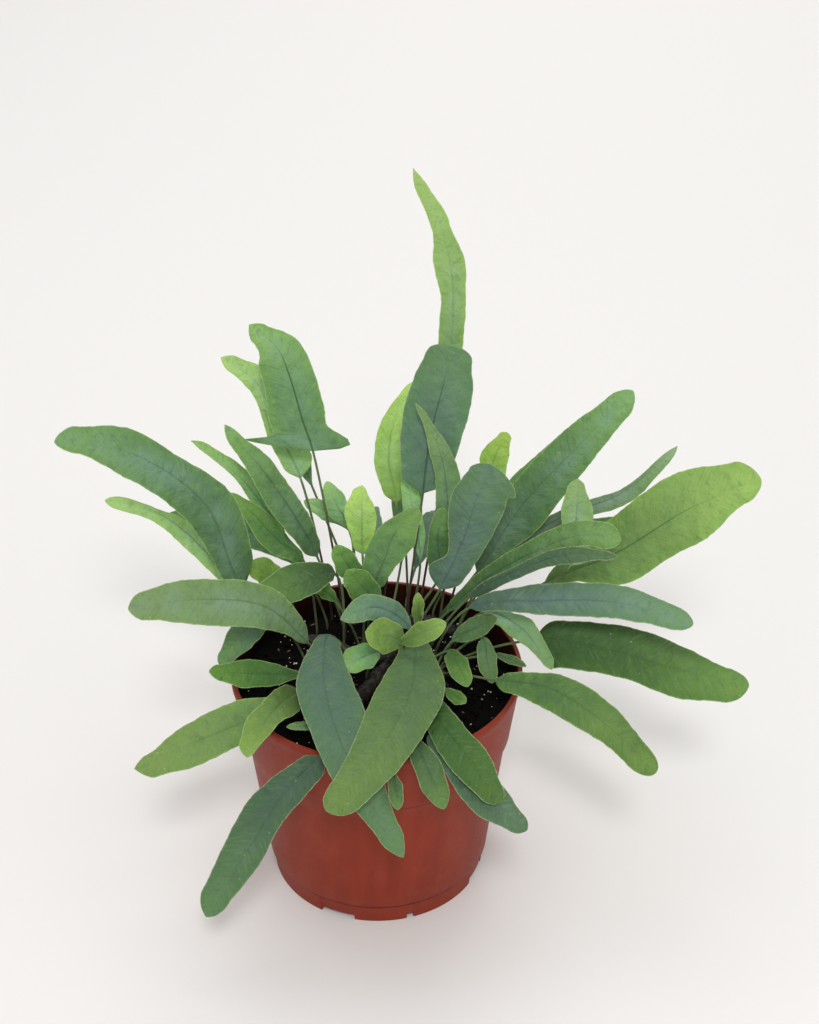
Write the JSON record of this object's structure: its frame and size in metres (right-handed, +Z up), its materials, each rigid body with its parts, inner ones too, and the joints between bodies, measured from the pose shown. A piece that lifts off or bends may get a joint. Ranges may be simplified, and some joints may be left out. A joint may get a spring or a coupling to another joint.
{
  "type": "potted fern",
  "caption": "Blue star fern with strap-shaped blue-green fronds on wiry stalks, rising from a creeping rhizome in a round tapered plastic nursery pot of soil.",
  "frame": {"origin": "centre of the flat pad under the pot, on the floor plane", "axes": "+Z up along the pot's axis, front of the plant towards -Y, +X to the right as seen from the front"},
  "size_m": [0.2794, 0.1985, 0.2903],
  "materials": {
    "pot": "satin moulded terracotta-red plastic",
    "soil": "moist dark peat compost, loose and matte",
    "rhizome": "golden-tan scales, matte",
    "leaf_blue": "blue-green leathery frond with a waxy bloom",
    "leaf_grey": "grey-green leathery frond with a waxy bloom",
    "leaf_green": "mid green leathery frond, matte",
    "leaf_light": "light green young frond, matte",
    "leaf_yellow": "yellow-green new frond, matte"
  },
  "bodies": {
    "root": {"pot": "pot", "soil": "soil", "rhizome": "rhizome", "frond_back_1": "leaf_light", "frond_back_2": "leaf_blue", "frond_back_3": "leaf_yellow", "frond_back_4": "leaf_grey", "frond_back_5": "leaf_green", "frond_back_6": "leaf_light", "frond_back_7": "leaf_yellow", "frond_left_1": "leaf_green", "frond_left_2": "leaf_green", "frond_left_3": "leaf_green", "frond_left_4": "leaf_light", "frond_left_5": "leaf_green", "frond_left_6": "leaf_yellow", "frond_left_7": "leaf_green", "frond_left_8": "leaf_light", "frond_left_9": "leaf_blue", "frond_left_10": "leaf_green", "frond_left_11": "leaf_light", "frond_left_12": "leaf_yellow", "frond_left_13": "leaf_green", "frond_front_1": "leaf_blue", "frond_front_2": "leaf_blue", "frond_front_3": "leaf_grey", "frond_front_4": "leaf_green", "frond_front_5": "leaf_blue", "frond_right_1": "leaf_grey", "frond_right_2": "leaf_blue", "frond_right_3": "leaf_green", "frond_right_4": "leaf_green", "frond_right_5": "leaf_green", "frond_right_6": "leaf_grey", "frond_right_7": "leaf_light", "frond_right_8": "leaf_light", "frond_right_9": "leaf_green", "frond_right_10": "leaf_blue", "frond_mid_1": "leaf_blue", "frond_mid_2": "leaf_green", "frond_mid_3": "leaf_grey", "frond_mid_4": "leaf_blue", "frond_mid_5": "leaf_yellow", "frond_mid_6": "leaf_green", "frond_mid_7": "leaf_green", "young_1": "leaf_green", "young_2": "leaf_yellow", "young_3": "leaf_light", "young_4": "leaf_grey", "young_5": "leaf_grey", "young_6": "leaf_grey", "young_7": "leaf_grey", "rear_1": "leaf_green", "rear_2": "leaf_green", "rear_3": "leaf_green", "rear_4": "leaf_green", "rear_5": "leaf_green", "rear_6": "leaf_blue", "rear_7": "leaf_blue"}
  },
  "joints": []
}
